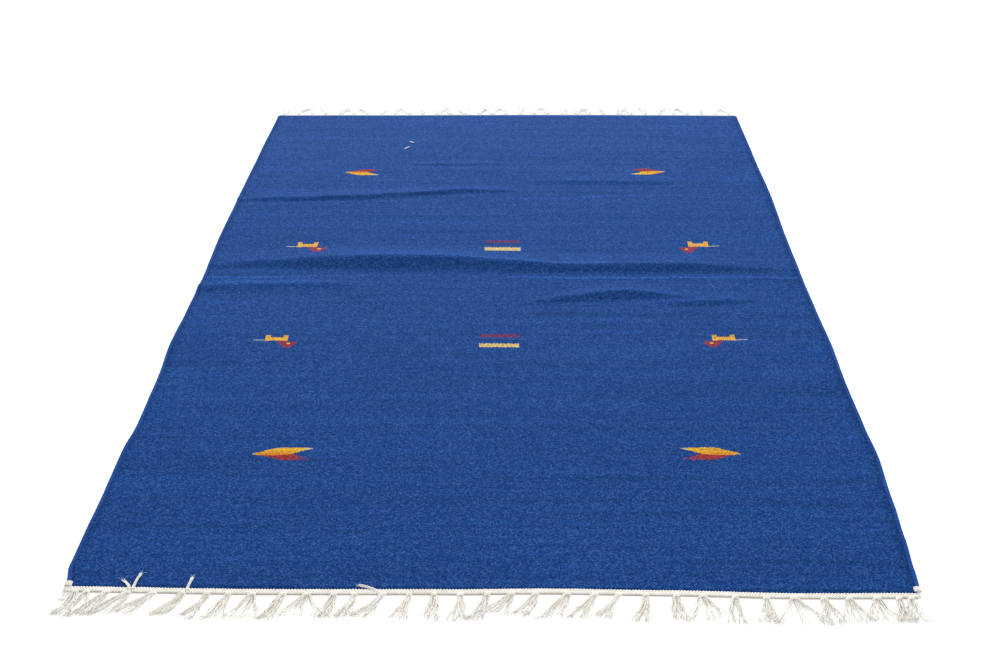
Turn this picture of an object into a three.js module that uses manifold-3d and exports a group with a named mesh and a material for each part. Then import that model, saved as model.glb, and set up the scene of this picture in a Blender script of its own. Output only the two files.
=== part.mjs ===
// A flat-woven kilim rug that lies on a floor with its storage folds, in millimetres, +Z up.
// The front end looks toward -Y, and the origin is on the floor under the middle of the rug.
import * as THREE from "three";
import { mergeVertices } from "three/addons/utils/BufferGeometryUtils.js";
import Module from "manifold-3d";

const wasm = await Module();
wasm.setup();

// Driving dimensions
const clothThickness = 3;
const pieceGap = 0.3;
const sideCord = { width: 7, height: 5, frontEnd: -879, backEnd: 878 };
const heading = { width: 8, height: 3.6, wrapHeight: 6 };
const strand = { rootWidth: 2.6, tipWidth: 2.2, height: 2.6, spacing: 3.4, earlyLean: 0.35, steps: 3 };
const knot = { width: 10.4, inside: 2, outside: 6, height: 4.6 };
const clothColumns = 20;
const crestPull = 1.4;
const backPull = 2;

// Colours and finishes
const woolField = { color: 0x274b8a, roughness: 0.95, metalness: 0 };
const woolCord = { color: 0x2f58a4, roughness: 0.95, metalness: 0 };
const cotton = { color: 0xe9e2d3, roughness: 0.9, metalness: 0 };

// Outer side lines of the rug, cords included
const sideLines = [
  { y: -880, left: -595, right: 590.5 },
  { y: -845, left: -601, right: 592.6 },
  { y: -775, left: -601, right: 597 },
  { y: -690, left: -600, right: 601 },
  { y: -575, left: -601, right: 606 },
  { y: -500, left: -596, right: 603 },
  { y: -370, left: -597, right: 601 },
  { y: -240, left: -603, right: 603 },
  { y: -130, left: -600, right: 600 },
  { y: 0, left: -598, right: 598 },
  { y: 190, left: -602, right: 598 },
  { y: 390, left: -600, right: 601 },
  { y: 630, left: -597, right: 597 },
  { y: 884, left: -593, right: 594 },
];

// Lines where the blue panel stops at its two ends
const endLines = [
  { x: -600, front: -887, back: 880 },
  { x: -330, front: -890, back: 881 },
  { x: -60, front: -888, back: 884 },
  { x: 75, front: -885, back: 885 },
  { x: 240, front: -887, back: 885 },
  { x: 420, front: -891, back: 883 },
  { x: 600, front: -889, back: 880 },
];

// Each fold rises from its foot, steepest near its crest, and sinks fast behind it over its back run
const folds = [
  {
    name: "middle wave",
    backRun: 88,
    sections: [
      { x: -600, crest: 62, foot: 36, height: 1 },
      { x: -500, crest: 70, foot: 36, height: 6 },
      { x: -350, crest: 78, foot: 24, height: 12 },
      { x: -240, crest: 81, foot: 20, height: 14.5 },
      { x: -125, crest: 80, foot: 18, height: 13.5 },
      { x: 0, crest: 68, foot: 15, height: 11.5 },
      { x: 124, crest: 52, foot: 13, height: 9 },
      { x: 247, crest: 55, foot: 14, height: 9.5 },
      { x: 372, crest: 58, foot: 20, height: 8.5 },
      { x: 494, crest: 50, foot: 25, height: 4.5 },
      { x: 600, crest: 44, foot: 28, height: 1 },
    ],
  },
  {
    name: "left step",
    backRun: 36,
    sections: [
      { x: -600, crest: -33, foot: -70, height: 4 },
      { x: -480, crest: -25, foot: -62, height: 4.5 },
      { x: -360, crest: -18, foot: -54, height: 4 },
      { x: -250, crest: -17, foot: -50, height: 0 },
    ],
  },
  {
    name: "right wave",
    backRun: 56,
    sections: [
      { x: 40, crest: -92, foot: -106, height: 0 },
      { x: 75, crest: -85, foot: -104, height: 2.5 },
      { x: 120, crest: -74, foot: -101, height: 5.5 },
      { x: 180, crest: -61, foot: -96, height: 8 },
      { x: 240, crest: -53, foot: -89, height: 8.5 },
      { x: 295, crest: -56, foot: -82, height: 6 },
      { x: 345, crest: -66, foot: -84, height: 2.5 },
      { x: 385, crest: -72, foot: -88, height: 0 },
    ],
  },
  {
    name: "right ripple",
    backRun: 34,
    sections: [
      { x: 300, crest: -92, foot: -112, height: 0 },
      { x: 330, crest: -91, foot: -112, height: 2.7 },
      { x: 390, crest: -86, foot: -110, height: 4 },
      { x: 460, crest: -79, foot: -100, height: 2.8 },
      { x: 510, crest: -75, foot: -94, height: 0 },
    ],
  },
  {
    name: "left quarter fold",
    backRun: 50,
    sections: [
      { x: -600, crest: 371, foot: 350, height: 2.5 },
      { x: -487, crest: 377, foot: 355, height: 5 },
      { x: -350, crest: 385, foot: 361, height: 5.5 },
      { x: -240, crest: 397, foot: 372, height: 4.5 },
      { x: -160, crest: 408, foot: 389, height: 2.5 },
      { x: -100, crest: 414, foot: 398, height: 0 },
    ],
  },
  {
    name: "middle quarter fold",
    backRun: 46,
    sections: [
      { x: -260, crest: 404, foot: 388, height: 0 },
      { x: -180, crest: 408, foot: 390, height: 2 },
      { x: -103, crest: 421, foot: 400, height: 4.5 },
      { x: -30, crest: 420, foot: 401, height: 3.5 },
      { x: 60, crest: 418, foot: 404, height: 0 },
    ],
  },
  {
    name: "right quarter fold",
    backRun: 50,
    sections: [
      { x: 50, crest: 472, foot: 450, height: 0 },
      { x: 110, crest: 474, foot: 448, height: 2 },
      { x: 190, crest: 472, foot: 445, height: 3 },
      { x: 330, crest: 468, foot: 443, height: 2.5 },
      { x: 420, crest: 466, foot: 444, height: 0 },
    ],
  },
];

// Rows across the cloth are close together where it folds, with one at each end of the side cords
const rowZones = [
  { from: -888, to: sideCord.frontEnd, rows: 1 },
  { from: sideCord.frontEnd, to: -120, rows: 9 },
  { from: -120, to: -30, rows: 10 },
  { from: -30, to: 120, rows: 18 },
  { from: 120, to: 240, rows: 4 },
  { from: 240, to: 350, rows: 2 },
  { from: 350, to: 500, rows: 15 },
  { from: 500, to: sideCord.backEnd, rows: 6 },
  { from: sideCord.backEnd, to: 884, rows: 1 },
];

// Front tassels as they lie: where each is knotted, how far its tips lean, reach out and spread
const frontTassels = [
  { knotX: -577, lean: -7, reach: 49, splay: 16 },
  { knotX: -561, lean: -12, reach: 48, splay: 18 },
  { knotX: -532, lean: -25, reach: 44, splay: 18 },
  { knotX: -503, lean: -34, reach: 47, splay: 18 },
  { knotX: -467, lean: -35, reach: 42, splay: 16 },
  { knotX: -427, lean: -27, reach: 46, splay: 15 },
  { knotX: -393, lean: -17, reach: 48, splay: 10 },
  { knotX: -364, lean: -15, reach: 48, splay: 13 },
  { knotX: -330, lean: -9, reach: 49, splay: 14 },
  { knotX: -288, lean: -17, reach: 47, splay: 10 },
  { knotX: -255, lean: -4, reach: 46, splay: 34 },
  { knotX: -218, lean: -8, reach: 48, splay: 10 },
  { knotX: -189, lean: -14, reach: 45, splay: 10 },
  { knotX: -150, lean: -28, reach: 44, splay: 13 },
  { knotX: -114, lean: -13, reach: 48, splay: 11 },
  { knotX: -80, lean: -1, reach: 48, splay: 13 },
  { knotX: -44, lean: 1, reach: 49, splay: 18 },
  { knotX: -7, lean: -16, reach: 46, splay: 10 },
  { knotX: 27, lean: -26, reach: 42, splay: 13 },
  { knotX: 60, lean: -23, reach: 42, splay: 12 },
  { knotX: 104, lean: -27, reach: 47, splay: 12 },
  { knotX: 142, lean: -28, reach: 47, splay: 12 },
  { knotX: 174, lean: -25, reach: 47, splay: 11 },
  { knotX: 211, lean: -9, reach: 50, splay: 12 },
  { knotX: 253, lean: 4, reach: 48, splay: 11 },
  { knotX: 289, lean: 2, reach: 49, splay: 22 },
  { knotX: 333, lean: -1, reach: 50, splay: 12 },
  { knotX: 375, lean: 2, reach: 48, splay: 18 },
  { knotX: 413, lean: 4, reach: 50, splay: 38 },
  { knotX: 453, lean: 4, reach: 50, splay: 11 },
  { knotX: 488, lean: 6, reach: 49, splay: 22 },
  { knotX: 526, lean: 3, reach: 48, splay: 18 },
  { knotX: 556, lean: 1, reach: 49, splay: 16 },
  { knotX: 573, lean: 1, reach: 48, splay: 18 },
];

// Back tassels stand at an even pitch and lean in slow turns
const backRow = {
  count: 33, firstX: -578, lastX: 577, lean: 11, leanTurn: 1.9,
  reach: 48, reachSwing: 3, reachTurn: 2.7, splay: 15, splaySwing: 5, splayTurn: 3.1,
};
const strandsPerTassel = 3;

// Loose locks at the front that turn back over the panel, rising to it over one step
const lockStep = 1.8;
const turnedLocks = [
  { rootX: -502, tipX: -513, tipY: -877 },
  { rootX: -496, tipX: -491, tipY: -866 },
  { rootX: -422, tipX: -421, tipY: -873 },
  { rootX: -160, tipX: -184, tipY: -884 },
];

// Sections as fractions of a width and a height, from one side over the top to the other side
const bandSection = [[-0.5, 0], [-0.44, 1], [0.44, 1], [0.5, 0]];
const strandSection = [[-0.5, 0], [0, 1], [0.5, 0]];
const knotSection = [[-0.5, 0], [-0.3, 1], [0.3, 1], [0.5, 0]];
const wrapSection = [[-0.35, 0], [-0.5, 0.4], [-0.25, 1], [0.25, 1], [0.5, 0.4], [0.35, 0]];
const cordSection = [[-0.32, 0], [-0.5, 0.5], [-0.28, 1], [0.28, 1], [0.5, 0.5], [0.32, 0]];

const smooth = (t) => t * t * (3 - 2 * t);
const clamp = (t) => Math.min(1, Math.max(0, t));

// A row of a table between its two nearest rows, blended softly, and held past its ends
function readTable(rows, key, at) {
  const next = rows.findIndex((row) => row[key] > at);
  if (next === 0) return rows[0];
  if (next < 0) return rows[rows.length - 1];
  const [low, high] = [rows[next - 1], rows[next]];
  const share = smooth((at - low[key]) / (high[key] - low[key]));
  const blend = (name) => [name, low[name] + (high[name] - low[name]) * share];
  return Object.fromEntries(Object.keys(low).map(blend));
}

// How far one fold lifts the cloth at a place on the floor
function liftOfFold(fold, x, y) {
  const section = readTable(fold.sections, "x", x);
  const climb = clamp((y - section.foot) / (section.crest - section.foot));
  const sink = clamp((section.crest + fold.backRun - y) / fold.backRun);
  return section.height * smooth(climb ** crestPull) * sink ** backPull;
}

const liftAt = (x, y) => folds.reduce((sum, fold) => sum + liftOfFold(fold, x, y), 0);

// Distances along Y of all rows of the cloth
const rowPlaces = rowZones.flatMap(({ from, to, rows }, zone) => {
  const places = Array.from({ length: rows + 1 }, (_, row) => from + ((to - from) * row) / rows);
  return zone ? places.slice(1) : places;
});

// One closed solid through rings that turn about the way they travel, with zipped end caps
function loft(rings) {
  const sides = rings[0].length;
  const indices = [];
  const addQuad = (a, b, c, d) => {
    const corners = [[a, b, c], [a, c, d]];
    indices.push(...corners.filter((face) => new Set(face).size === face.length).flat());
  };
  const lastRing = (rings.length - 1) * sides;
  for (let start = 0; start < lastRing; start += sides) {
    for (let side = 0; side < sides; side++) {
      const next = (side + 1) % sides;
      addQuad(start + side, start + next, start + sides + next, start + sides + side);
    }
  }
  for (let side = 0; side < (sides - 1) / 2; side++) {
    const across = sides - 1 - side;
    addQuad(across, across - 1, side + 1, side);
    addQuad(lastRing + side, lastRing + side + 1, lastRing + across - 1, lastRing + across);
  }
  const geometry = new THREE.BufferGeometry();
  geometry.setAttribute("position", new THREE.Float32BufferAttribute(rings.flat(2), 3));
  geometry.setIndex(indices);
  return geometry;
}

// One ring of a section at a place, across the way it travels
function ringAt(section, place, travel, width, height) {
  const across = { x: travel.y, y: -travel.x };
  return section.map(([side, up]) => [
    place.x + across.x * side * width,
    place.y + across.y * side * width,
    place.z + up * height,
  ]);
}

// Places across the cloth on one row, just inside the side cords
function columnPlaces(rowY) {
  const inset = sideCord.width + pieceGap;
  const sides = readTable(sideLines, "y", rowY);
  const [left, right] = [sides.left + inset, sides.right - inset];
  const place = (_, column) => left + ((right - left) * column) / clothColumns;
  return Array.from({ length: clothColumns + 1 }, place);
}

function makeCloth() {
  const lastRow = rowPlaces.length - 1;
  const rings = rowPlaces.map((rowY, row) => {
    const places = columnPlaces(rowY).map((x) => {
      const ends = readTable(endLines, "x", x);
      const y = row === 0 ? ends.front : row === lastRow ? ends.back : rowY;
      return [x, y, liftAt(x, y)];
    });
    const top = places.map(([x, y, lift]) => [x, y, lift + clothThickness]);
    return [...top, ...places.reverse()];
  });
  return loft(rings);
}

// Middle of a side cord at a distance along Y
function cordCentre(sideName, y) {
  const inward = sideName === "left" ? 1 : -1;
  return readTable(sideLines, "y", y)[sideName] + (inward * sideCord.width) / 2;
}

function makeSideCord(sideName) {
  const along = rowPlaces.filter((y) => y >= sideCord.frontEnd && y <= sideCord.backEnd);
  const travel = { x: 0, y: 1 };
  const rings = along.map((y) => {
    const x = cordCentre(sideName, y);
    const place = { x, y, z: liftAt(x, y) };
    return ringAt(cordSection, place, travel, sideCord.width, sideCord.height);
  });
  return loft(rings);
}

const toSolid = (geometry) => {
  const merged = mergeVertices(geometry);
  const mesh = { numProp: 3, vertProperties: merged.attributes.position.array };
  mesh.triVerts = new Uint32Array(merged.index.array);
  return new wasm.Manifold(new wasm.Mesh(mesh));
};

function toGeometry(solid) {
  const mesh = solid.getMesh();
  const geometry = new THREE.BufferGeometry();
  geometry.setAttribute("position", new THREE.BufferAttribute(mesh.vertProperties, 3));
  geometry.setIndex(new THREE.BufferAttribute(mesh.triVerts, 1));
  return geometry;
}

// The two ends of the rug: which end line each follows, which way it looks and how far its band runs
const frontEnd = { line: "front", out: -1, left: -594, right: 587, row: rowPlaces[0] };
const backEnd = { line: "back", out: 1, left: -590, right: 591, row: rowPlaces.at(-1) };

// The band runs along X, just off the end line of the panel
function bandCentre(end, x) {
  return readTable(endLines, "x", x)[end.line] + end.out * (pieceGap + heading.width / 2);
}

function makeBand(end) {
  const travel = { x: 1, y: 0 };
  const rings = [end.left, ...columnPlaces(end.row), end.right].map((x) => {
    const place = { x, y: bandCentre(end, x), z: 0 };
    return ringAt(bandSection, place, travel, heading.width, heading.height);
  });
  return loft(rings);
}

function makeKnot(end, knotX) {
  const travel = { x: 0, y: end.out };
  const outerEdge = bandCentre(end, knotX) + (end.out * heading.width) / 2;
  const rings = [-knot.inside, knot.outside].map((along) => {
    const place = { x: knotX, y: outerEdge + end.out * along, z: 0 };
    return ringAt(knotSection, place, travel, knot.width, knot.height);
  });
  return loft(rings);
}

// A strand leaves its knot, bends a little more to its lean and lies level on the floor
function makeStrand(root, tip) {
  const bend = { x: root.x + (tip.x - root.x) * strand.earlyLean, y: root.y + (tip.y - root.y) / 2 };
  const rings = Array.from({ length: strand.steps + 1 }, (_, step) => {
    const t = step / strand.steps;
    const [a, b, c] = [(1 - t) ** 2, 2 * t * (1 - t), t ** 2];
    const place = {
      x: a * root.x + b * bend.x + c * tip.x,
      y: a * root.y + b * bend.y + c * tip.y,
      z: 0,
    };
    const slope = new THREE.Vector2(
      (1 - t) * (bend.x - root.x) + t * (tip.x - bend.x),
      (1 - t) * (bend.y - root.y) + t * (tip.y - bend.y),
    ).normalize();
    const width = strand.rootWidth + (strand.tipWidth - strand.rootWidth) * t;
    return ringAt(strandSection, place, slope, width, strand.height);
  });
  return loft(rings);
}

function makeTassel(end, { knotX, lean, reach, splay }) {
  const outerEdge = bandCentre(end, knotX) + (end.out * heading.width) / 2;
  const pieces = [makeKnot(end, knotX)];
  for (let number = 0; number < strandsPerTassel; number++) {
    const share = number / (strandsPerTassel - 1) - 0.5;
    const root = { x: knotX + share * strand.spacing * 2, y: outerEdge };
    const tip = { x: knotX + lean + share * splay, y: outerEdge + end.out * reach };
    pieces.push(makeStrand(root, tip));
  }
  return pieces;
}

// A lock starts inside the band, steps over its edge and lies on the panel
function makeTurnedLock(end, { rootX, tipX, tipY }) {
  const root = { x: rootX, y: bandCentre(end, rootX), z: pieceGap };
  const clear = clothThickness + pieceGap;
  const edge = { x: rootX, y: root.y - end.out * lockStep, z: clear };
  const tip = { x: tipX, y: tipY, z: clear };
  const slope = new THREE.Vector2(tip.x - root.x, tip.y - root.y).normalize();
  const rings = [root, edge, tip].map((place) =>
    ringAt(strandSection, place, slope, strand.rootWidth, strand.height));
  return loft(rings);
}

// At the front corners the band wraps up before the end of each side cord
function makeCornerWrap(end, sideName) {
  const travel = { x: 0, y: 1 };
  const stop = sideCord.frontEnd - pieceGap;
  const x = cordCentre(sideName, stop);
  const rings = [bandCentre(end, x), stop].map((y) =>
    ringAt(wrapSection, { x, y, z: 0 }, travel, sideCord.width, heading.wrapHeight));
  return loft(rings);
}

function makeFringe(end, tassels, extras) {
  const pieces = [makeBand(end), ...tassels.flatMap((tassel) => makeTassel(end, tassel)), ...extras];
  return toGeometry(wasm.Manifold.union(pieces.map(toSolid)));
}

const backTassels = Array.from({ length: backRow.count }, (_, number) => ({
  knotX: backRow.firstX + ((backRow.lastX - backRow.firstX) * number) / (backRow.count - 1),
  lean: backRow.lean * Math.sin(backRow.leanTurn * number),
  reach: backRow.reach + backRow.reachSwing * Math.sin(backRow.reachTurn * number),
  splay: backRow.splay + backRow.splaySwing * Math.sin(backRow.splayTurn * number),
}));

const frontExtras = [
  ...turnedLocks.map((lock) => makeTurnedLock(frontEnd, lock)),
  ...["left", "right"].map((sideName) => makeCornerWrap(frontEnd, sideName)),
];

const rug = new THREE.Group();
const addPiece = (name, geometry, finish) => {
  const piece = new THREE.Mesh(geometry, new THREE.MeshStandardMaterial(finish));
  piece.name = name;
  rug.add(piece);
};

addPiece("kilim_cloth", makeCloth(), woolField);
addPiece("selvedge_left", makeSideCord("left"), woolCord);
addPiece("selvedge_right", makeSideCord("right"), woolCord);
addPiece("fringe_front", makeFringe(frontEnd, frontTassels, frontExtras), cotton);
addPiece("fringe_back", makeFringe(backEnd, backTassels, []), cotton);

export default rug;
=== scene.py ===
import math
import random

import bmesh
import bpy
from mathutils import Matrix, Vector, noise


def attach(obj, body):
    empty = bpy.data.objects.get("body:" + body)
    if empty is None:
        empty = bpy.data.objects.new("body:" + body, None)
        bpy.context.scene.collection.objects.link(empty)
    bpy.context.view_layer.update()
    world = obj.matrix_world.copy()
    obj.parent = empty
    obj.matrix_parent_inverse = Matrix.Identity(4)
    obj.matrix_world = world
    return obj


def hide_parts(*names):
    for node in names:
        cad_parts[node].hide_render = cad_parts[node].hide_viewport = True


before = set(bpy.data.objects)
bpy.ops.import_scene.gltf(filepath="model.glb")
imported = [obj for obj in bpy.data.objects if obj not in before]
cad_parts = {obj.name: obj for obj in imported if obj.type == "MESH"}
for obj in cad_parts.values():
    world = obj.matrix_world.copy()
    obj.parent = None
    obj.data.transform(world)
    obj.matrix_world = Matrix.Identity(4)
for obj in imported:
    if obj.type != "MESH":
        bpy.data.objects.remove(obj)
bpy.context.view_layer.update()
scene = bpy.context.scene
random.seed(1207)
mm = 0.001
print("frame loaded:", sorted(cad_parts))


# Camera: place in metres, angles in degrees, lens and sensor in millimetres
viewpoint = {
    "place": (0.03706, -2.18209, 1.20185), "yaw": -1.0727, "tilt": 31.2262, "roll": -0.3509,
    "lens": 45.05, "sensor": 36, "farthest": 60,
}


def makeCamera():
    yaw, tilt, roll = (math.radians(viewpoint[angle]) for angle in ("yaw", "tilt", "roll"))
    ahead = Vector((math.sin(yaw) * math.cos(tilt), math.cos(yaw) * math.cos(tilt), -math.sin(tilt)))
    level = Vector((math.cos(yaw), -math.sin(yaw), 0))
    lift = level.cross(ahead)
    side = math.cos(roll) * level + math.sin(roll) * lift
    top = math.cos(roll) * lift - math.sin(roll) * level
    facing = Matrix((side, top, -ahead)).transposed().to_4x4()
    camera = bpy.data.objects.new("camera", bpy.data.cameras.new("camera"))
    scene.collection.objects.link(camera)
    camera.matrix_world = Matrix.Translation(viewpoint["place"]) @ facing
    camera.data.lens = viewpoint["lens"]
    camera.data.sensor_width = viewpoint["sensor"]
    camera.data.clip_end = viewpoint["farthest"]
    scene.camera = camera


makeCamera()
print("camera ready")


# Shader maths: a wire is one socket, and sums of wires add their own nodes
class Wire:
    def __init__(self, paint, socket):
        self.paint, self.socket = paint, socket

    def maths(self, operation, *values):
        return self.paint.node("ShaderNodeMath", {"operation": operation}, values)

    def __add__(self, other):
        return self.maths("ADD", self, other)

    def __radd__(self, other):
        return self.maths("ADD", other, self)

    def __sub__(self, other):
        return self.maths("SUBTRACT", self, other)

    def __rsub__(self, other):
        return self.maths("SUBTRACT", other, self)

    def __mul__(self, other):
        return self.maths("MULTIPLY", self, other)

    def __rmul__(self, other):
        return self.maths("MULTIPLY", other, self)

    def __truediv__(self, other):
        return self.maths("DIVIDE", self, other)

    def __mod__(self, other):
        return self.maths("FLOORED_MODULO", self, other)

    def __gt__(self, other):
        return self.maths("GREATER_THAN", self, other)

    def __lt__(self, other):
        return self.maths("LESS_THAN", self, other)

    def __abs__(self):
        return self.maths("ABSOLUTE", self)

    def floor(self):
        return self.maths("FLOOR", self)

    def exponential(self):
        return self.maths("EXPONENT", self)

    def least(self, other):
        return self.maths("MINIMUM", self, other)

    def most(self, other):
        return self.maths("MAXIMUM", self, other)

    def share(self):
        return self.most(0.0).least(1.0)

    def between(self, low, high):
        return (self > low) * (self < high)


# The nodes of one material, or of the world, up to its last node
class Paint:
    def __init__(self, owner, lastNode="Principled BSDF"):
        owner.use_nodes = True
        self.owner, self.tree = owner, owner.node_tree
        self.last = self.tree.nodes[lastNode]

    def node(self, kind, settings=None, values=(), output=0):
        made = self.tree.nodes.new(kind)
        for key, setting in (settings or {}).items():
            setattr(made, key, setting)
        pairs = values.items() if isinstance(values, dict) else enumerate(values)
        for key, value in pairs:
            self.feed(made.inputs[key], value)
        return Wire(self, made.outputs[output])

    def feed(self, socket, value):
        if isinstance(value, Wire):
            self.tree.links.new(value.socket, socket)
        else:
            socket.default_value = value

    def finish(self, **values):
        for key, value in values.items():
            self.feed(self.last.inputs[key.replace("_", " ")], value)
        return self.owner

    def place(self):  # object coordinates
        return self.node("ShaderNodeTexCoord", None, (), 3)

    def point(self, x, y, z=0.0):
        return self.node("ShaderNodeCombineXYZ", None, [x, y, z])

    def split(self, vector):
        parts = self.node("ShaderNodeSeparateXYZ", None, [vector])
        return [Wire(self, socket) for socket in parts.socket.node.outputs]

    def speckle(self, vector):
        return self.node("ShaderNodeTexWhiteNoise", {"noise_dimensions": "3D"}, {"Vector": vector})

    def cloud(self, vector, scale=1.0, detail=2.0, roughness=0.5):
        values = {"Vector": vector, "Scale": scale, "Detail": detail, "Roughness": roughness}
        return self.node("ShaderNodeTexNoise", {"noise_dimensions": "3D"}, values)

    def blend(self, share, first, second, kind="MIX"):
        settings = {"data_type": "RGBA", "blend_type": kind}
        return self.node("ShaderNodeMix", settings, {0: share, 6: first, 7: second}, 2)

    def shade(self, colour, factor):
        return self.blend(1.0, colour, self.point(factor, factor, factor), "MULTIPLY")

    def relief(self, height):
        return self.node("ShaderNodeBump", None, {"Strength": 1.0, "Distance": 1.0, "Height": height})

    # A line through the given corners, as a sum of slope changes
    def follow(self, across, corners):
        slope, total = 0.0, corners[0][1]
        for (x0, y0), (x1, y1) in zip(corners, corners[1:]):
            turn = (y1 - y0) / (x1 - x0) - slope
            total = total + (across - x0).most(0.0) * turn
            slope += turn
        return total


# A colour given in screen levels, 0 to 255, as Blender's linear light
def screenColour(red, green, blue):
    def linear(level):
        level /= 255
        return level / 12.92 if level <= 0.04045 else ((level + 0.055) / 1.055) ** 2.4
    return (linear(red), linear(green), linear(blue), 1.0)


# Creases in millimetres: half width of the thin ridge and depth of the trough before it,
# then x, y and rise of its corners
creases = {
    "centre": (2.8, 0.1, [
        (-592, 4, 0.88), (-490, 6, 0.99), (-368, 10, 0.66), (-298, 13, 0.5), (-122, 14, 0.33), (-4, 15, 0.33),
        (56, 8, 0.66), (147, 5, 1.1), (244, 7, 1.21), (366, 9, 1.21), (489, 11, 1.21), (592, 7, 1.1)]),
    "centre left": (2.6, 0.5, [(-592, -17, 0.66), (-560, -17, 0.88), (-420, -16, 0.77), (-360, -14, 0)]),
    "quarter": (2.8, 0.1, [
        (-90, 375, 0), (-54, 375, 0.44), (70, 376, 0.55), (280, 393, 0.66), (531, 399, 0.55),
        (580, 400, 0.22)]),
    "crest": (2.6, 0.1, [
        (-340, 81, 0), (-275, 84, 0.6), (-125, 82.5, 0.8), (0, 70.5, 1.0), (124, 54.5, 1.1), (196, 56, 0.8),
        (260, 58, 0)]),
    "back ripple": (9.0, 0.9, [(-230, 571, 0), (-169, 571, 1.43), (-59, 573, 1.21), (20, 575, 0)]),
    "low ripple": (9.0, 0.5, [(-240, 216, 0), (-180, 216, 0.88), (-20, 219, 0.77), (40, 221, 0)]),
}
# Painted highlight: the wool's colour is lightened along the sharp ones, standing in for their lit crests
paintedHighlight = {"lines": ("centre", "centre left", "quarter", "crest"), "halfWidth": 0.0034, "share": 0.4}

# Weave and wool of the panel, sizes in metres
wool = {
    "warpPitch": 0.0022, "pickHeight": 0.0016, "fallAcross": 2.6, "fallAlong": 2.2,
    "beadRise": 0.00022, "fibreRise": 0.00006, "streakRise": 0.00005,
    "blue": screenColour(26, 66, 128), "deepBlue": screenColour(8, 42, 102),
    "paleBlue": screenColour(70, 106, 168), "yellow": screenColour(204, 164, 54),
    "orange": screenColour(194, 108, 42), "brick": screenColour(132, 46, 42),
    "tile": screenColour(156, 54, 42), "crimson": screenColour(117, 48, 74),
    "bone": screenColour(182, 182, 172), "gold": screenColour(208, 174, 96),
    "straw": screenColour(214, 188, 112),
    "paleAbove": 0.78, "paleShare": 0.4, "deepBelow": 0.3, "deepShare": 0.6,
    "grooveShade": 0.86, "domeShadeSpan": 0.16, "beadContrast": 0.44, "motifContrast": 1.8,
    "roughness": 0.92, "gloss": 0.02, "sheen": 0.003, "sheenRoughness": 0.45,
}

# Soft changes along the yarns: repeats in a metre across and along, layer, detail, roughness
woolClouds = {
    "streak": (22.0, 520.0, 3.0, 3.0, 0.6), "yarn band": (0.8, 34.0, 7.0, 4.0, 0.62),
    "weft run": (3.0, 120.0, 9.0, 3.0, 0.5), "patch": (6.0, 11.0, 11.0, 3.0, 0.5),
    "mottle": (260.0, 200.0, 13.0, 1.0, 0.5), "fuzz": (900.0, 2400.0, 2.0, 2.0, 0.5),
}
cloudContrast = {"streak": 0.24, "yarn band": 0.5, "weft run": 0.5, "patch": 0.12}


def weaveOf(paint):
    u, v, _ = paint.split(paint.node("ShaderNodeUVMap", {"uv_map": "weave"}))
    column = (u / wool["warpPitch"]).floor()
    offset = (column % 2.0) * 0.5
    pick = v / wool["pickHeight"] + offset
    row = pick.floor()
    acrossBead = u / wool["warpPitch"] - column - 0.5
    alongBead = pick - row - 0.5
    middleU = (column + 0.5) * wool["warpPitch"]
    middleV = (row + 0.5 - offset) * wool["pickHeight"]
    dome = 1.0 - acrossBead * acrossBead * wool["fallAcross"] - alongBead * alongBead * wool["fallAlong"]
    return u, v, column, row, middleU, middleV, dome


def woolCloud(paint, name, u, v):
    across, along, layer, detail, roughness = woolClouds[name]
    return paint.cloud(paint.point(u * across, v * along, layer), detail=detail, roughness=roughness)


# Leaf, charted in metres: x runs out from the rug's middle line, y up from the leaf's own line.
# One leaf is mirrored to four places, a little shorter at the back
leaf = {
    "middle": 0.5505, "shift": 0.0260, "backShrink": 0.2, "backShift": 0.002,
    "inner": 0.294, "outer": 0.389, "redInner": 0.292, "redOuter": 0.379,
    "upper": [(0.294, 0.0152), (0.303, 0.0160), (0.343, 0.0172), (0.354, 0.0155), (0.369, 0.0095),
              (0.389, 0.0005)],
    "lower": [(0.294, 0.0140), (0.303, 0.0115), (0.316, 0.0055), (0.328, -0.0010), (0.350, -0.0030),
              (0.378, -0.0030), (0.389, -0.0012)],
    "redUpper": [(0.292, -0.0125), (0.310, -0.0075), (0.323, -0.0005), (0.350, -0.0030), (0.379, -0.0030)],
    "redLower": [(0.292, -0.0140), (0.299, -0.0150), (0.317, -0.0160), (0.343, -0.0158), (0.355, -0.0115),
                 (0.366, -0.0065), (0.379, -0.0035)],
    "redShare": 0.92, "fadeFrom": 0.324, "fadeSlope": 28.0,
    "orangeDown": 42.0, "orangeOut": 11.0, "orangeFrom": 0.352, "orangeSpeck": 0.9,
    "paleInner": 0.305, "paleOuter": 0.384, "paleShare": 0.75,
}


def leafColour(paint, colour, x, y, speck):
    leafY = leaf["middle"] - abs(y + leaf["shift"])
    leafX = x + (y > 0.0) * ((x - leaf["inner"]) * leaf["backShrink"] - leaf["backShift"])
    red = (leafY < paint.follow(leafX, leaf["redUpper"])) * (leafY > paint.follow(leafX, leaf["redLower"]))
    red = red * leafX.between(leaf["redInner"], leaf["redOuter"])
    red = red * (speck > (leaf["fadeFrom"] - leafX) * leaf["fadeSlope"])
    colour = paint.blend(red * leaf["redShare"], colour, paint.blend(speck, wool["brick"], wool["tile"]))
    upper, lower = paint.follow(leafX, leaf["upper"]), paint.follow(leafX, leaf["lower"])
    blade = (leafY < upper) * (leafY > lower) * leafX.between(leaf["inner"], leaf["outer"])
    depth = (upper - leafY) * leaf["orangeDown"] + (leafX - leaf["orangeFrom"]) * leaf["orangeOut"]
    depth = depth + (speck - 0.5) * leaf["orangeSpeck"]
    gold = paint.blend(depth.share(), wool["yellow"], wool["orange"])
    tips = (leafX < leaf["paleInner"]).most(leafX > leaf["paleOuter"]) * leaf["paleShare"]
    return paint.blend(blade, colour, paint.blend(tips, gold, wool["bone"])), red + blade


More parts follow.
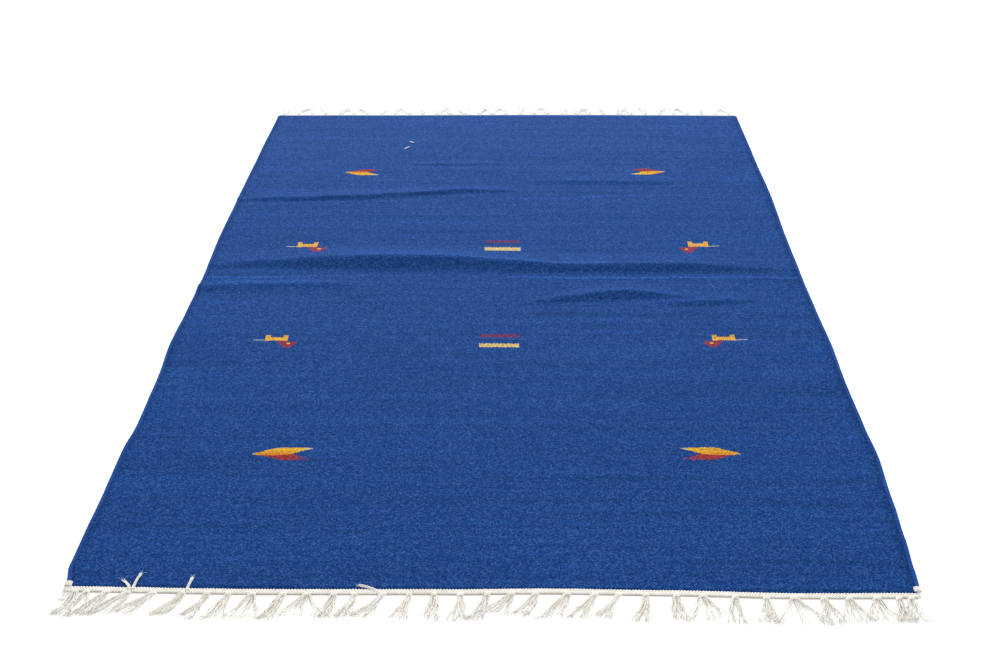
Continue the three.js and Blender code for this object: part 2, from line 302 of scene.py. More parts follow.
# Comb, the same way up in all four places, a little lower at the back
comb = {
    "front": 0.2313, "step": 0.3720, "backShrink": 0.16, "inward": 0.0010, "backInward": 0.0028,
    "innerHorn": (0.390, 0.400), "outerHorn": (0.424, 0.4320), "hornHeight": (-0.0005, 0.0195),
    "bar": (0.390, 0.4320), "barHeight": (0.0010, 0.0125),
    "fin": (0.372, 0.408), "finTop": 0.0005, "finSlope": 0.12, "finShare": 0.75, "finSpeck": 0.25,
    "finLower": [(0.372, -0.0060), (0.382, -0.0230), (0.393, -0.0240), (0.408, -0.0040)],
    "spot": (0.383, 0.3895), "spotHeight": (-0.0115, -0.0075), "orangeShare": 0.45, "goldShare": 0.7,
    "dash": (0.4320, 0.455), "dashMiddle": (0.445, 0.0025), "dashSlope": 0.05, "dashHalfWidth": 0.0012,
    "dashShare": 0.8,
}


def combColour(paint, colour, x, y, speck, mottle):
    combY = (y + comb["front"] - (y > 0.0) * comb["step"]) * (1.0 - (y > 0.0) * comb["backShrink"])
    x = x + comb["inward"] + (y > 0.0) * comb["backInward"]
    horns = x.between(*comb["innerHorn"]).most(x.between(*comb["outerHorn"]))
    horns = horns * combY.between(*comb["hornHeight"])
    bar = x.between(*comb["bar"]) * combY.between(*comb["barHeight"])
    slant = combY + (comb["fin"][1] - x) * comb["finSlope"]
    fin = x.between(*comb["fin"]) * (slant < comb["finTop"]) * (combY > paint.follow(x, comb["finLower"]))
    finShare = fin * (comb["finShare"] + speck * comb["finSpeck"])
    colour = paint.blend(finShare, colour, paint.blend(speck, wool["crimson"], wool["tile"]))
    spot = x.between(*comb["spot"]) * combY.between(*comb["spotHeight"])
    colour = paint.blend(spot, colour, wool["gold"])
    tint = paint.blend(mottle * comb["goldShare"], wool["yellow"], wool["gold"])
    tint = paint.blend(speck * comb["orangeShare"], tint, wool["orange"])
    colour = paint.blend(horns.most(bar), colour, tint)
    dashX, dashY = comb["dashMiddle"]
    fromDash = abs(combY - dashY - (x - dashX) * comb["dashSlope"])
    dash = x.between(*comb["dash"]) * (fromDash < comb["dashHalfWidth"])
    return paint.blend(dash * comb["dashShare"], colour, wool["bone"]), fin + horns + bar


# Bars in the middle: yarn, left, right, front and back edge in metres, and how densely they cover
bars = [
    ("crimson", -0.036, 0.0355, -0.2195, -0.2080, 0.9), ("straw", -0.0365, 0.036, -0.2530, -0.2410, 1.0),
    ("crimson", -0.036, 0.035, 0.1600, 0.1720, 0.7), ("straw", -0.038, 0.037, 0.1215, 0.1385, 0.9),
]
barEdge = {"toothPitch": 0.0066, "toothRise": 0.0022, "speck": 0.25}


def barColour(paint, colour, u, v, speck):
    stepped = v + ((u / barEdge["toothPitch"]) % 1.0 > 0.5) * barEdge["toothRise"]
    drawn = 0.0
    for yarn, left, right, low, high, share in bars:
        inside = u.between(left, right) * stepped.between(low, high)
        colour = paint.blend(inside * (share - speck * barEdge["speck"]), colour, wool[yarn])
        drawn = drawn + inside
    return colour, drawn


motifSkew = 0.0090  # how far the rows of motifs climb to the right


def motifColour(paint, u, v, speck, mottle, ground):
    x, y = abs(u), v - u * motifSkew
    colour, leaves = leafColour(paint, ground, x, y, speck)
    colour, combs = combColour(paint, colour, x, y, speck, mottle)
    colour, middles = barColour(paint, colour, u, v, speck)
    drawn = (leaves + combs + middles).least(1.0)
    return paint.shade(colour, 1.0 + drawn * (mottle - 0.5) * wool["motifContrast"])


# Painted highlight along each sharp crease, strongest right on its ridge
def paintedHighlightShare(paint, u, v):
    highlight = 0.0
    for name in paintedHighlight["lines"]:
        line = creases[name][2]
        away = (v - paint.follow(u, [(x * mm, y * mm) for x, y, _ in line])) / paintedHighlight["halfWidth"]
        rise = paint.follow(u, [(x * mm, rise) for x, _, rise in line]).most(0.0)
        highlight = highlight + (away * away * -1.0).exponential() * rise
    return highlight


def makeWoolFinish():
    paint = Paint(bpy.data.materials.new("wool_kilim_weave"))
    u, v, column, row, middleU, middleV, dome = weaveOf(paint)
    speck = paint.speckle(paint.point(column, row, 1.0))
    # The tone takes the painted crease highlight, a random shade for each bead and the slow clouds
    tone = 1.0 + paintedHighlightShare(paint, u, v) * paintedHighlight["share"] + (speck - 0.5) * wool["beadContrast"]
    clouds = {name: woolCloud(paint, name, u, v) for name in cloudContrast}
    for name, contrast in cloudContrast.items():
        tone = tone + (clouds[name] - 0.5) * contrast
    heather = paint.speckle(paint.point(column, row, 5.0))
    ground = paint.blend((heather > wool["paleAbove"]) * wool["paleShare"], wool["blue"], wool["paleBlue"])
    ground = paint.blend((heather < wool["deepBelow"]) * wool["deepShare"], ground, wool["deepBlue"])
    mottle = woolCloud(paint, "mottle", middleU, middleV)
    colour = motifColour(paint, middleU, middleV, speck, mottle, ground)
    # Painted shade: each bead's colour darkens from its top towards the grooves between beads
    colour = paint.shade(colour, tone * (wool["grooveShade"] + dome * wool["domeShadeSpan"]))
    fuzz = woolCloud(paint, "fuzz", u, v)
    height = dome * wool["beadRise"] + fuzz * wool["fibreRise"] + clouds["streak"] * wool["streakRise"]
    return paint.finish(Base_Color=colour, Normal=paint.relief(height), Roughness=wool["roughness"],
                        Sheen_Weight=wool["sheen"], Sheen_Roughness=wool["sheenRoughness"],
                        Specular_IOR_Level=wool["gloss"])


# Wool of the wrapped side cords
cordWool = {
    "blue": screenColour(42, 94, 172), "shade": screenColour(25, 66, 134),
    "lumpScale": 160.0, "lumpShare": 0.9, "slowScale": 14.0, "slowShare": 0.7, "shift": 0.35,
    "fibreScale": 1900.0, "fibreRise": 0.00012,
    "roughness": 0.9, "sheen": 0.02, "gloss": 0.08,
}


def makeCordFinish():
    paint = Paint(bpy.data.materials.new("wool_wrapped_cord"))
    place = paint.place()
    lumps = paint.cloud(place, scale=cordWool["lumpScale"]) * cordWool["lumpShare"]
    slow = paint.cloud(place, scale=cordWool["slowScale"]) * cordWool["slowShare"]
    colour = paint.blend((lumps + slow - cordWool["shift"]).share(), cordWool["shade"], cordWool["blue"])
    fibre = paint.cloud(place, scale=cordWool["fibreScale"]) * cordWool["fibreRise"]
    return paint.finish(Base_Color=colour, Normal=paint.relief(fibre), Roughness=cordWool["roughness"],
                        Sheen_Weight=cordWool["sheen"], Specular_IOR_Level=cordWool["gloss"])


# Undyed cotton of the headings and tassels: painted shade in blue-grey on the back half, and a painted brown
# shadow low down on the headings
cottonYarn = {
    "light": screenColour(255, 255, 252), "dark": screenColour(228, 221, 207),
    "paintedShadow": screenColour(112, 100, 88), "backShade": (0.62, 0.70, 0.71, 1.0), "backShadeShare": 0.36,
    "paintedShadowTop": 0.0016, "paintedShadowFade": 0.0005, "paintedShadowShare": 0.85,
    "slowScale": 60.0, "slowDetail": 3.0, "slowShare": 1.1, "fineScale": 700.0, "fineShare": 0.6,
    "shift": 0.35, "fineRise": 0.0002, "roughness": 0.88, "sheen": 0.1, "gloss": 0.3,
}


def makeCottonFinish(name, paintedShadow=0.0, backShadeShare=cottonYarn["backShadeShare"]):
    paint = Paint(bpy.data.materials.new(name))
    place = paint.place()
    slow = paint.cloud(place, scale=cottonYarn["slowScale"], detail=cottonYarn["slowDetail"])
    fine = paint.cloud(place, scale=cottonYarn["fineScale"])
    share = (slow * cottonYarn["slowShare"] + fine * cottonYarn["fineShare"] - cottonYarn["shift"]).share()
    colour = paint.blend(share, cottonYarn["dark"], cottonYarn["light"])
    _, along, height = paint.split(place)
    # Painted shade: cotton on the back half is mixed towards blue-grey
    colour = paint.blend((along > 0.0) * backShadeShare, colour, cottonYarn["backShade"])
    # Painted shadow: below a set height the cotton turns brown, a dark line where the heading meets the floor
    low = ((cottonYarn["paintedShadowTop"] - height) / cottonYarn["paintedShadowFade"]).share()
    colour = paint.blend(low * paintedShadow, colour, cottonYarn["paintedShadow"])
    return paint.finish(Base_Color=colour, Normal=paint.relief(fine * cottonYarn["fineRise"]),
                        Roughness=cottonYarn["roughness"], Sheen_Weight=cottonYarn["sheen"],
                        Specular_IOR_Level=cottonYarn["gloss"])


woolFinish, cordFinish = makeWoolFinish(), makeCordFinish()
cottonFinish = makeCottonFinish("cotton_undyed")
headingFinish = makeCottonFinish("cotton_heading", paintedShadow=cottonYarn["paintedShadowShare"])
# The loose ends get no painted back shade
looseFinish = makeCottonFinish("cotton_without_back_shade", backShadeShare=0.0)
print("finishes ready")


# Studio: a broad soft light low behind the rug, an even fill, a white floor
studio = {
    "floorSize": 16.0, "floorDrop": 0.0004, "floorColour": (0.96, 0.96, 0.96, 1.0), "floorGlow": 0.3,
    "white": (1.0, 1.0, 1.0, 1.0), "backdrop": 1.1, "fill": 0.8,
    "lights": {
        "key": {"place": (-0.4, 5.4, 2.0), "size": (4.0, 1.4), "power": 500.0},
        "front": {"place": (0.3, -3.4, 3.2), "size": (2.6, 2.6), "power": 20.0},
    },
}


def makeFloor():
    shape = bmesh.new()
    bmesh.ops.create_grid(shape, x_segments=8, y_segments=8, size=studio["floorSize"] / 2)
    bmesh.ops.translate(shape, verts=shape.verts, vec=(0, 0, -studio["floorDrop"]))
    paint = Paint(bpy.data.materials.new("floor_white"))
    finish = paint.finish(Base_Color=studio["floorColour"], Roughness=0.9, Specular_IOR_Level=0.1,
                          Emission_Color=studio["white"], Emission_Strength=studio["floorGlow"])
    return keepMesh("floor", shape, finish)


def makeLight(name, place, size, power):
    light = bpy.data.lights.new(name, "AREA")
    light.shape = "RECTANGLE"
    light.size, light.size_y = size
    light.energy = power
    lamp = bpy.data.objects.new(name, light)
    scene.collection.objects.link(lamp)
    lamp.location = place
    lamp.rotation_euler = (-Vector(place)).to_track_quat("-Z", "Y").to_euler()


# The room fills the shadows evenly and looks pure white behind the floor
def makeRoom():
    scene.world = bpy.data.worlds.new("white_room")
    paint = Paint(scene.world, "Background")
    seen = paint.node("ShaderNodeLightPath")
    strength = seen * (studio["backdrop"] - studio["fill"]) + studio["fill"]
    paint.finish(Color=studio["white"], Strength=strength)
    scene.view_settings.view_transform = "Standard"


def keepMesh(name, shape, material, smooth=False):
    mesh = bpy.data.meshes.new(name)
    shape.to_mesh(mesh)
    shape.free()
    piece = bpy.data.objects.new(name, mesh)
    scene.collection.objects.link(piece)
    mesh.materials.append(material)
    mesh.polygons.foreach_set("use_smooth", [smooth] * len(mesh.polygons))
    return piece


floor = makeFloor()
for lightName, light in studio["lights"].items():
    makeLight(lightName, **light)
makeRoom()
print("studio ready")


# The rug's own lines in millimetres: y, then the left and right edge
sideLines = [
    (-880, -595, 590.5), (-845, -601, 592.6), (-775, -601, 597), (-690, -600, 601), (-575, -601, 606),
    (-500, -596, 603), (-370, -597, 601), (-240, -603, 603), (-130, -600, 600), (0, -598, 598),
    (190, -602, 598), (390, -600, 601), (630, -597, 597), (884, -593, 594),
]
# And x, then the front and back edge
endLines = [
    (-600, -887, 880), (-330, -890, 881), (-60, -888, 884), (75, -885, 885), (240, -887, 885),
    (420, -891, 883), (600, -889, 880),
]

# Folds: how far each sinks behind its crest, then x, crest, foot and height of its sections
folds = {
    "middle wave": (88, [
        (-600, 62, 36, 1), (-500, 70, 36, 6), (-350, 78, 24, 12), (-240, 81, 20, 14.5), (-125, 80, 18, 13.5),
        (0, 68, 15, 11.5), (124, 52, 13, 9), (247, 55, 14, 9.5), (372, 58, 20, 8.5), (494, 50, 25, 4.5),
        (600, 44, 28, 1)]),
    "left step": (36, [(-600, -33, -70, 4), (-480, -25, -62, 4.5), (-360, -18, -54, 4), (-250, -17, -50, 0)]),
    "right wave": (56, [
        (40, -92, -106, 0), (75, -85, -104, 2.5), (120, -74, -101, 5.5), (180, -61, -96, 8),
        (240, -53, -89, 8.5), (295, -56, -82, 6), (345, -66, -84, 2.5), (385, -72, -88, 0)]),
    "right ripple": (34, [
        (300, -92, -112, 0), (330, -91, -112, 2.7), (390, -86, -110, 4), (460, -79, -100, 2.8),
        (510, -75, -94, 0)]),
    "left quarter fold": (50, [
        (-600, 371, 350, 2.5), (-487, 377, 355, 5), (-350, 385, 361, 5.5), (-240, 397, 372, 4.5),
        (-160, 408, 389, 2.5), (-100, 414, 398, 0)]),
    "middle quarter fold": (46, [
        (-260, 404, 388, 0), (-180, 408, 390, 2), (-103, 421, 400, 4.5), (-30, 420, 401, 3.5),
        (60, 418, 404, 0)]),
    "right quarter fold": (50, [
        (50, 472, 450, 0), (110, 474, 448, 2), (190, 472, 445, 3), (330, 468, 443, 2.5), (420, 466, 444, 0)]),
}
crestPull = 1.4  # how much steeper a fold is near its crest, in front
backPull = 2.0  # and how fast it sinks right behind it


def held(share):
    return min(1.0, max(0.0, share))


def smoothly(share):
    share = held(share)
    return share * share * (3 - 2 * share)


# Values of a table at a place, blended softly between neighbouring rows and held past its ends
def readTable(rows, at):
    if at <= rows[0][0]:
        return rows[0][1:]
    for low, high in zip(rows, rows[1:]):
        if at < high[0]:
            share = smoothly((at - low[0]) / (high[0] - low[0]))
            return [a + (b - a) * share for a, b in zip(low[1:], high[1:])]
    return rows[-1][1:]


def foldLift(x, y):
    lift = 0.0
    for backRun, sections in folds.values():
        crest, foot, height = readTable(sections, x)
        climb = held((y - foot) / (crest - foot)) ** crestPull
        sink = held((crest + backRun - y) / backRun) ** backPull
        lift += height * smoothly(climb) * sink
    return lift


creaseReach = {"ridge": 4.0, "troughAway": 1.7, "least": 0.75, "uneven": 0.5, "slowX": 0.02, "slowY": 0.1}


def creaseLift(x, y):
    lift = 0.0
    for halfWidth, trough, line in creases.values():
        ridge, rise = readTable(line, x)
        if abs(y - ridge) < halfWidth * creaseReach["ridge"]:
            spot = Vector((x * creaseReach["slowX"], ridge * creaseReach["slowY"], 4.0))
            rise *= creaseReach["least"] + creaseReach["uneven"] * noise.noise(spot)
            lift += rise * math.exp(-((y - ridge) / halfWidth) ** 2)
            fromTrough = y - ridge + halfWidth * creaseReach["troughAway"]
            lift -= rise * trough * math.exp(-(fromTrough / halfWidth) ** 2)
    return lift


# Panel: one grid laid along the rug's lines in millimetres, with close rows where it folds
panel = {
    "columns": 84, "thickness": 2.6, "lift": 0.4, "cordWidth": 7.0, "gap": 0.3, "edgeRise": 0.9,
    "waver": 0.45, "slowWaver": (0.006, 0.014, 0.0), "quickWaver": (0.02, 0.04, 9.0), "quickShare": 0.5,
    "rows": [(-888, -150, 120), (-150, -30, 48), (-30, 40, 40), (40, 240, 70), (240, 345, 18), (345, 500, 66),
             (500, 560, 9), (560, 600, 16), (600, 884, 46)],
}


def clothLift(x, y):
    slow, quick = (noise.noise(Vector((x * acrossRate, y * alongRate, layer)))
                   for acrossRate, alongRate, layer in (panel["slowWaver"], panel["quickWaver"]))
    waver = panel["waver"] * (slow + panel["quickShare"] * quick)
    return max(0.0, foldLift(x, y) + creaseLift(x, y) + waver + panel["lift"])


def makePanel():
    places = [panel["rows"][0][0]]
    for start, stop, count in panel["rows"]:
        places += [start + (stop - start) * (step + 1) / count for step in range(count)]
    shape = bmesh.new()
    lastRow = len(places) - 1
    bmesh.ops.create_grid(shape, x_segments=panel["columns"], y_segments=lastRow, size=0.5)
    inset = panel["cordWidth"] + panel["gap"]
    sideEdge = 0.5 - 0.1 / panel["columns"]
    for vert in shape.verts:
        row = round((vert.co.y + 0.5) * lastRow)
        y = places[row]
        left, right = readTable(sideLines, y)
        x = left + inset + (right - left - 2 * inset) * (vert.co.x + 0.5)
        front, back = readTable(endLines, x)
        y = front if row == 0 else back if row == lastRow else y
        edgeRise = panel["edgeRise"] if abs(vert.co.x) > sideEdge else 0.0
        vert.co = Vector((x, y, clothLift(x, y) + edgeRise)) * mm
    weave = shape.loops.layers.uv.new("weave")
    for face in shape.faces:
        for loop in face.loops:
            loop[weave].uv = loop.vert.co.xy
    piece = keepMesh("kilim_panel", shape, woolFinish, smooth=True)
    body = piece.modifiers.new("thickness", "SOLIDIFY")
    body.thickness, body.offset = panel["thickness"] * mm, 1.0
    return piece


# A round section: its sides, half width and half height, and how narrow it is between its two lobes
def roundSection(sides, halfWidth, halfHeight, waist=1.0):
    outline = []
    for side in range(sides):
        angle = 2 * math.pi * side / sides
        reach = waist + (1 - waist) * abs(math.cos(angle))
        outline.append((halfWidth * reach * math.cos(angle), halfHeight * reach * math.sin(angle)))
    return outline


# Many tubes of one section along their own lines, each a list of (x, y, z, width, turn) in millimetres
def makeTubes(name, lines, section, material, closed=False):
    outline = bpy.data.curves.new(name + "_section", "CURVE")
    outline.dimensions = "2D"
    ring = outline.splines.new("POLY")
    ring.points.add(len(section) - 1)
    for point, (x, y) in zip(ring.points, section):
        point.co = (x * mm, y * mm, 0, 1)
    ring.use_cyclic_u = True
    holder = bpy.data.objects.new(name + "_section", outline)
    scene.collection.objects.link(holder)
    curve = bpy.data.curves.new(name, "CURVE")
    curve.dimensions, curve.bevel_mode, curve.bevel_object = "3D", "OBJECT", holder
    curve.use_fill_caps = not closed
    for line in lines:
        spline = curve.splines.new("POLY")
        spline.points.add(len(line) - 1)
        places = [value for x, y, z, *_ in line for value in (x * mm, y * mm, z * mm, 1.0)]
        spline.points.foreach_set("co", places)
        spline.points.foreach_set("radius", [place[3] for place in line])
        spline.points.foreach_set("tilt", [place[4] for place in line])
        spline.use_cyclic_u = closed
    drawn = bpy.data.objects.new(name, curve)
    scene.collection.objects.link(drawn)
    bpy.context.view_layer.update()
    mesh = bpy.data.meshes.new_from_object(drawn.evaluated_get(bpy.context.evaluated_depsgraph_get()))
    for spare in (drawn, holder):
        bpy.data.objects.remove(spare)
    shape = bmesh.new()
    shape.from_mesh(mesh)
    bmesh.ops.remove_doubles(shape, verts=shape.verts, dist=0.01 * mm)
    bmesh.ops.recalc_face_normals(shape, faces=shape.faces)
    bpy.data.meshes.remove(mesh)
    return keepMesh(name, shape, material, smooth=True)


def joined(first, second):
    shape = bmesh.new()
    shape.from_mesh(first.data)
    shape.from_mesh(second.data)
    name, material = first.name, first.data.materials[0]
    bpy.data.objects.remove(first)
    bpy.data.objects.remove(second)
    return keepMesh(name, shape, material, smooth=True)


# Side cords: a wool yarn wound round a flat core, in millimetres
sideCord = {
    "front": -879, "back": 878, "width": 7.0, "pitch": 2.05, "steps": 8, "reachX": 2.65, "reachZ": 1.25,
    "middle": 2.3, "yarn": 1.0, "yarnSides": 6, "quickSlack": 0.16, "quickPitch": 0.3,
    "slowSlack": 0.12, "slowPitch": 0.03, "core": (3.4, 1.35), "coreSides": 10, "coreSteps": 300,
}


def cordCentre(sideName, y):
    left, right = readTable(sideLines, y)
    return left + sideCord["width"] / 2 if sideName == "left" else right - sideCord["width"] / 2


def windingSlack(y, turn):
    quick = noise.noise(Vector((y * sideCord["quickPitch"], turn, 0)))
    slow = noise.noise(Vector((y * sideCord["slowPitch"], turn, 5)))
    return 1 + sideCord["quickSlack"] * quick + sideCord["slowSlack"] * slow


def makeSideCord(sideName):
    count = int((sideCord["back"] - sideCord["front"] - 2) / sideCord["pitch"]) * sideCord["steps"]
    turn = 1 if sideName == "left" else -1
    winding, core = [], []
    for step in range(count + 1):
        y = sideCord["front"] + 1 + step * sideCord["pitch"] / sideCord["steps"]
        angle = turn * 2 * math.pi * step / sideCord["steps"]
        x = cordCentre(sideName, y)
        slack = windingSlack(y, turn)
        z = foldLift(x, y) + sideCord["middle"] + sideCord["reachZ"] * math.sin(angle) * slack
        winding.append((x + sideCord["reachX"] * math.cos(angle) * slack, y, z, slack, 0.0))
    for step in range(sideCord["coreSteps"] + 1):
        y = sideCord["front"] + (sideCord["back"] - sideCord["front"]) * step / sideCord["coreSteps"]
        x = cordCentre(sideName, y)
        core.append((x, y, foldLift(x, y) + sideCord["middle"], 1.0, 0.0))
    roundYarn = roundSection(sideCord["yarnSides"], sideCord["yarn"], sideCord["yarn"])
    wound = makeTubes("side_cord_" + sideName, [winding], roundYarn, cordFinish)
    flatCore = roundSection(sideCord["coreSides"], *sideCord["core"])
    inner = makeTubes("side_core_" + sideName, [core], flatCore, cordFinish)
    return joined(wound, inner)


kilimPanel = makePanel()
print("panel ready:", len(kilimPanel.data.polygons), "faces")
sideCords = {sideName: makeSideCord(sideName) for sideName in ("left", "right")}
print("side cords ready")

# Ends: which end line each follows, which way it looks and how far its heading runs
ends = {
    "front": {"line": 0, "out": -1, "left": -594, "right": 587},
    "back": {"line": 1, "out": 1, "left": -590, "right": 591},
}

# Headings: twined cords side by side with a low thin cord outside them, in millimetres; the low cord lies
# below the painted-shadow height, so it draws a dark painted shadow line along the heading's foot
heading = {
    "width": 8.0, "cords": 2, "radius": 1.85, "sides": 8, "bump": 4.2, "bumpRise": 0.28, "steps": 6,
    "middle": 1.9, "waver": 0.6, "waverPitch": 0.03, "slack": 0.12, "slackPitch": 0.2,
    "lowRadius": 0.75, "lowOut": 0.45, "lowStep": 4,
}


def headingCentre(endName, x):
    end = ends[endName]
    return readTable(endLines, x)[end["line"]] + end["out"] * (panel["gap"] + heading["width"] / 2)


def headingEdge(endName, x):
    return headingCentre(endName, x) + ends[endName]["out"] * heading["width"] / 2


def headingCord(endName, number):
    end = ends[endName]
    offset = (number - (heading["cords"] - 1) / 2) * heading["width"] / heading["cords"]
    count = int((end["right"] - end["left"]) / heading["bump"]) * heading["steps"]
    line = []
    for step in range(count + 1):
        x = end["left"] + (end["right"] - end["left"]) * step / count
        waver = noise.noise(Vector((x * heading["waverPitch"], number * 5.0, end["out"]))) * heading["waver"]
        width = 1 + heading["slack"] * noise.noise(Vector((x * heading["slackPitch"], number * 3.0, 2.0)))
        width += heading["bumpRise"] * math.cos(2 * math.pi * step / heading["steps"] + number * math.pi)
        line.append((x, headingCentre(endName, x) + offset + waver, heading["middle"], width, 0.0))
    return line


def makeHeading(endName):
    end, low = ends[endName], heading["lowRadius"]
    lines = [headingCord(endName, number) for number in range(heading["cords"])]
    # The low cord: a dark painted shadow line along the outer foot of the heading
    lines.append([
        (x, headingEdge(endName, x) + end["out"] * heading["lowOut"], low, low / heading["radius"], 0.0)
        for x in range(end["left"] + 1, end["right"], heading["lowStep"])
    ])
    section = roundSection(heading["sides"], heading["radius"], heading["radius"])
    return makeTubes("heading_" + endName, lines, section, headingFinish)


headings = {endName: makeHeading(endName) for endName in ends}
print("headings ready")

# Tassels as they lie, in millimetres: knot place, lean of the tips, reach and splay
frontTassels = [
    (-577, -7, 49, 16), (-561, -12, 48, 18), (-532, -25, 44, 18), (-503, -34, 47, 18), (-467, -35, 42, 16),
    (-427, -27, 46, 15), (-393, -17, 48, 10), (-364, -15, 48, 13), (-330, -9, 49, 14), (-288, -17, 47, 10),
    (-255, -4, 46, 34), (-218, -8, 48, 10), (-189, -14, 45, 10), (-150, -28, 44, 13), (-114, -13, 48, 11),
    (-80, -1, 48, 13), (-44, 1, 49, 18), (-7, -16, 46, 10), (27, -26, 42, 13), (60, -23, 42, 12),
    (104, -27, 47, 12), (142, -28, 47, 12), (174, -25, 47, 11), (211, -9, 50, 12), (253, 4, 48, 11),
    (289, 2, 49, 22), (333, -1, 50, 12), (375, 2, 48, 18), (413, 4, 50, 38), (453, 4, 50, 11),
    (488, 6, 49, 22), (526, 3, 48, 18), (556, 1, 49, 16), (573, -4, 46, 12),
]
backRow = {
    "count": 33, "first": -578, "last": 577, "lean": 11, "leanTurn": 1.9, "reach": 48, "reachSwing": 3,
    "reachTurn": 2.7, "splay": 15, "splaySwing": 5, "splayTurn": 3.1,
}
backTassels = [
    (backRow["first"] + (backRow["last"] - backRow["first"]) * n / (backRow["count"] - 1),
     backRow["lean"] * math.sin(backRow["leanTurn"] * n),
     backRow["reach"] + backRow["reachSwing"] * math.sin(backRow["reachTurn"] * n),
     backRow["splay"] + backRow["splaySwing"] * math.sin(backRow["splayTurn"] * n))
    for n in range(backRow["count"])
]

# A yarn: its twist and taper, and the share of it that comes down from the knot
yarn = {"radius": 0.92, "sides": 6, "waist": 0.6, "twist": 1.05, "twistStart": (0, 3.1), "taper": 0.15,
        "settle": 0.35, "swayStart": (0, 6.3), "swayTurns": 5.5, "swayAlong": 0.3}
# A tassel parts into two or three locks that lie side by side
tassel = {
    "yarns": 18, "parts": (2, 2, 3), "neck": 7.4, "steps": 20, "sway": 3.4, "bow": 6.0,
    "partSplay": 0.68, "partApart": 6.0, "partLean": 2.5, "partReach": (0.86, 1.03),
    "yarnSplay": 0.42, "yarnApart": 6.0, "tipJitter": 1.6, "tipReach": (0.93, 1.04),
    "rootIn": 1.5, "rootLow": 1.3, "rootStep": 1.7, "layerRise": 1.8, "bendX": 0.35, "bendY": 0.5,
}
knot = {"rows": (1.6, 3.9), "reach": 4.0, "slant": 0.8, "rise": 1.5, "middle": 2.6, "width": 1.1,
        "radius": 0.9, "sides": 6, "steps": 12}
fray = {"hairs": 3, "length": 9.0, "shares": (0.35, 1.0), "starts": (-2.5, -0.5), "spread": 0.75, "curl": 0.7,
        "radius": 0.17, "sides": 3, "steps": 4, "fall": 0.4, "lift": (-0.2, 0.3), "lowest": 0.25,
        "width": 1.2, "taper": 0.7}
stray = {"count": 7, "shares": (0.5, 1.05), "splay": 0.6, "apart": 12, "rootX": 3, "rootY": 3, "bowX": 9,
         "bowY": 5, "rootZ": 3.0, "lieZ": 0.4, "sway": 1.6, "steps": 12, "width": 1.6}


# One yarn along a soft bend from its root to its tip, flat on what it lies on
def yarnLine(root, bend, tip, rootZ, lieZ, sway, steps):
    phase, line = random.uniform(*yarn["swayStart"]), []
    turn = random.uniform(*yarn["twistStart"])
    for step in range(steps + 1):
        t = step / steps
        a, b, c = (1 - t) ** 2, 2 * t * (1 - t), t * t
        wave = sway * t * math.sin(phase + yarn["swayTurns"] * t)
        x = a * root[0] + b * bend[0] + c * tip[0] + wave
        y = a * root[1] + b * bend[1] + c * tip[1] + wave * yarn["swayAlong"]
        z = lieZ + (rootZ - lieZ) * (1 - smoothly(t / yarn["settle"]))
        line.append((x, y, z, 1.0 - yarn["taper"] * t, turn + yarn["twist"] * step))
    return line


def frayedEnd(line, lieZ):
    (x0, y0, *_), (x1, y1, *_) = line[-3], line[-1]
    angle = math.atan2(y1 - y0, x1 - x0)
    hairs = []
    for _ in range(fray["hairs"]):
        away = angle + random.uniform(-fray["spread"], fray["spread"])
        curl = random.uniform(-fray["curl"], fray["curl"])
        length = fray["length"] * random.uniform(*fray["shares"])
        start = random.uniform(*fray["starts"])
        hair = []
        for step in range(fray["steps"] + 1):
            t = step / fray["steps"]
            reach = start + (length - start) * t
            facing = away + curl * t
            z = max(fray["lowest"], lieZ * (1 - fray["fall"] * t) + random.uniform(*fray["lift"]))
            width = fray["width"] - fray["taper"] * t
            hair.append((x1 + reach * math.cos(facing), y1 + reach * math.sin(facing), z, width, 0.0))
        hairs.append(hair)
    return hairs


def tasselYarns(knotX, edge, out, lean, reach, splay):
    lines, hairs = [], []
    parts = random.choice(tassel["parts"])
    leans = [(part - (parts - 1) / 2) * (splay * tassel["partSplay"] + tassel["partApart"])
             + random.uniform(-tassel["partLean"], tassel["partLean"]) for part in range(parts)]
    reaches = [reach * random.uniform(*tassel["partReach"]) for _ in leans]
    bows = [random.uniform(-tassel["bow"], tassel["bow"]) for _ in leans]
    for number in range(tassel["yarns"]):
        part = number * parts // tassel["yarns"]
        share = (number + 0.5) / tassel["yarns"] - 0.5
        within = (number + 0.5) * parts / tassel["yarns"] - part - 0.5
        layer = number % 2
        lieZ = yarn["radius"] * (1 + tassel["layerRise"] * layer)
        rootZ = tassel["rootLow"] + tassel["rootStep"] * layer
        root = (knotX + share * tassel["neck"], edge - out * tassel["rootIn"])
        aside = within * (splay * tassel["yarnSplay"] + tassel["yarnApart"])
        aside += random.uniform(-tassel["tipJitter"], tassel["tipJitter"])
        tip = (knotX + lean + leans[part] + aside,
               edge + out * reaches[part] * random.uniform(*tassel["tipReach"]))
        bend = (root[0] + (tip[0] - root[0]) * tassel["bendX"] + bows[part],
                root[1] + (tip[1] - root[1]) * tassel["bendY"])
        line = yarnLine(root, bend, tip, rootZ, lieZ, tassel["sway"], tassel["steps"])
        lines.append(line)
        hairs += frayedEnd(line, lieZ)
    return lines, hairs


